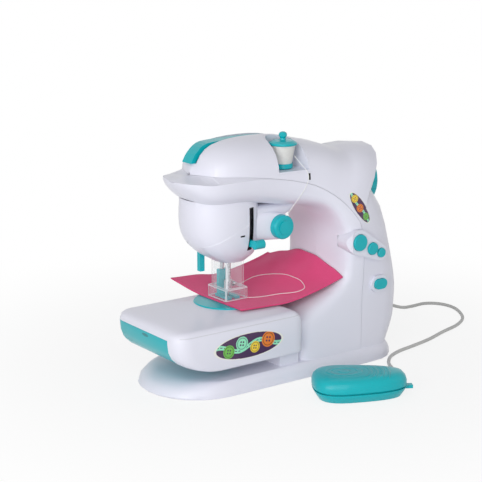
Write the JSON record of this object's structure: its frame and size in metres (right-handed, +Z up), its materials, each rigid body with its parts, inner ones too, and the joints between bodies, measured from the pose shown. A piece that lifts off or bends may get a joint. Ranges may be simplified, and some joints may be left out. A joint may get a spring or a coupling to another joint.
{
  "type": "toy sewing machine",
  "caption": "Battery toy sewing machine with hooded arm, free-arm bed, clear needle guard, spool well, drawer, hand wheel and corded foot pedal, stitching a felt cloth",
  "frame": {"origin": "middle of the base's underside, on the table", "axes": "+X along the arm from the needle head to the column, +Y from the front to the back, +Z up"},
  "size_m": [0.4186, 0.2379, 0.2278],
  "materials": {
    "white_plastic": "glossy moulded white",
    "teal_plastic": "glossy moulded teal",
    "steel": "plain steel",
    "brass": "plain brass",
    "dark_plastic": "dark inner plastic",
    "belt_rubber": "matte rubber",
    "felt": "pink felt",
    "cord": "soft light grey",
    "clear_plastic": "clear styrene",
    "thread": "white sewing thread",
    "board": "green board"
  },
  "bodies": {
    "machine": {"base_pan": "white_plastic", "bottom_plate": "white_plastic", "bottom_screws": "steel", "battery_box": "dark_plastic", "batteries": "steel", "battery_door": "white_plastic", "door_screw": "steel", "front_casing": "white_plastic", "rear_casing": "white_plastic", "top_hood": "white_plastic", "hood_well": "white_plastic", "carry_handle": "teal_plastic", "bed_shell": "white_plastic", "needle_plate": "teal_plastic", "head_shell": "white_plastic", "tension_pod": "white_plastic", "needle_guard": "clear_plastic", "needle_bushes": "brass", "arm_bearing": "white_plastic", "chassis_plate": "dark_plastic", "shaft_bushes": "brass", "drive_belt": "belt_rubber", "motor": "steel", "motor_cradle": "white_plastic", "button_pod": "white_plastic", "switch_bezel": "white_plastic", "circuit_board": "board", "spool_pin": "white_plastic", "cord_gland": "cord", "pedal_cord": "cord", "pedal_base": "teal_plastic", "sewing_cloth": "felt"},
    "needle_slide_body": {"needle_bar": "steel", "needle_yoke": "white_plastic", "needle_clamp": "steel", "clamp_screw": "steel", "needle": "steel", "take_up_lever": "teal_plastic"},
    "presser": {"presser_bar": "steel", "presser_foot": "teal_plastic"},
    "lifter": {"lifter_lever": "teal_plastic"},
    "drive": {"main_shaft": "steel", "crank_disc": "dark_plastic", "upper_pulley": "dark_plastic", "hand_wheel": "teal_plastic"},
    "lower_drive": {"lower_shaft": "steel", "lower_pulley": "dark_plastic", "drive_gear": "white_plastic", "looper": "steel"},
    "pinion": {"motor_pinion": "brass"},
    "dial": {"tension_dial": "teal_plastic"},
    "thread_spool": {"spool": "teal_plastic", "spool_thread": "thread", "spool_cap": "teal_plastic"},
    "drawer": {"accessory_drawer": "teal_plastic"},
    "key_large": {"button_large": "teal_plastic"},
    "key_medium": {"button_medium": "teal_plastic"},
    "key_small": {"button_small": "teal_plastic"},
    "switch": {"power_switch": "teal_plastic"},
    "treadle": {"pedal_top": "teal_plastic"}
  },
  "joints": [
    {"name": "hand_wheel_turn", "type": "hinge", "parent": "machine", "child": "drive", "pos_m": [0, 0.006, 0.17], "axis": [1, 0, 0], "continuous": true},
    {"name": "lower_shaft_turn", "type": "hinge", "parent": "machine", "child": "lower_drive", "pos_m": [0, 0.006, 0.044], "axis": [1, 0, 0], "continuous": true},
    {"name": "motor_turn", "type": "hinge", "parent": "machine", "child": "pinion", "pos_m": [0.103, 0.006, 0.0656], "axis": [1, 0, 0], "continuous": true},
    {"name": "needle_stroke", "type": "slide", "parent": "machine", "child": "needle_slide_body", "axis": [0, 0, 1], "range_m": [0, 0.02]},
    {"name": "lifter_swing", "type": "hinge", "parent": "machine", "child": "lifter", "pos_m": [-0.035, 0.028, 0.127], "axis": [1, 0, 0], "range_deg": [0, 50]},
    {"name": "presser_lift", "type": "slide", "parent": "machine", "child": "presser", "axis": [0, 0, 1], "range_m": [0, 0.006]},
    {"name": "tension_turn", "type": "hinge", "parent": "machine", "child": "dial", "pos_m": [0.017, -0.02, 0.139], "axis": [0, -1, 0], "range_deg": [-135, 135]},
    {"name": "spool_turn", "type": "hinge", "parent": "machine", "child": "thread_spool", "pos_m": [0.022, -0.012, 0.205], "axis": [0, 0, 1], "continuous": true},
    {"name": "drawer_slide", "type": "slide", "parent": "machine", "child": "drawer", "axis": [-1, 0, 0], "range_m": [0, 0.056]},
    {"name": "large_button_push", "type": "slide", "parent": "machine", "child": "key_large", "axis": [0, 1, 0], "range_m": [0, 0.0018], "stiffness_N_per_m": 400},
    {"name": "medium_button_push", "type": "slide", "parent": "machine", "child": "key_medium", "axis": [0, 1, 0], "range_m": [0, 0.0018], "stiffness_N_per_m": 400},
    {"name": "small_button_push", "type": "slide", "parent": "machine", "child": "key_small", "axis": [0, 1, 0], "range_m": [0, 0.0018], "stiffness_N_per_m": 400},
    {"name": "power_switch_push", "type": "slide", "parent": "machine", "child": "switch", "axis": [0, 1, 0], "range_m": [0, 0.0018], "stiffness_N_per_m": 400},
    {"name": "treadle_press", "type": "hinge", "parent": "machine", "child": "treadle", "pos_m": [0.05758, -0.135, 0.011], "axis": [0.5, 0.866, 0], "range_deg": [-1.2, 0], "stiffness_Nm_per_rad": 2}
  ],
  "couplings": [
    {"joint": "lower_shaft_turn", "follows": "hand_wheel_turn", "ratio": 1},
    {"joint": "motor_turn", "follows": "hand_wheel_turn", "ratio": -2.8571},
    {"joint": "presser_lift", "follows": "lifter_swing", "m_per_rad": 0.0068755}
  ]
}
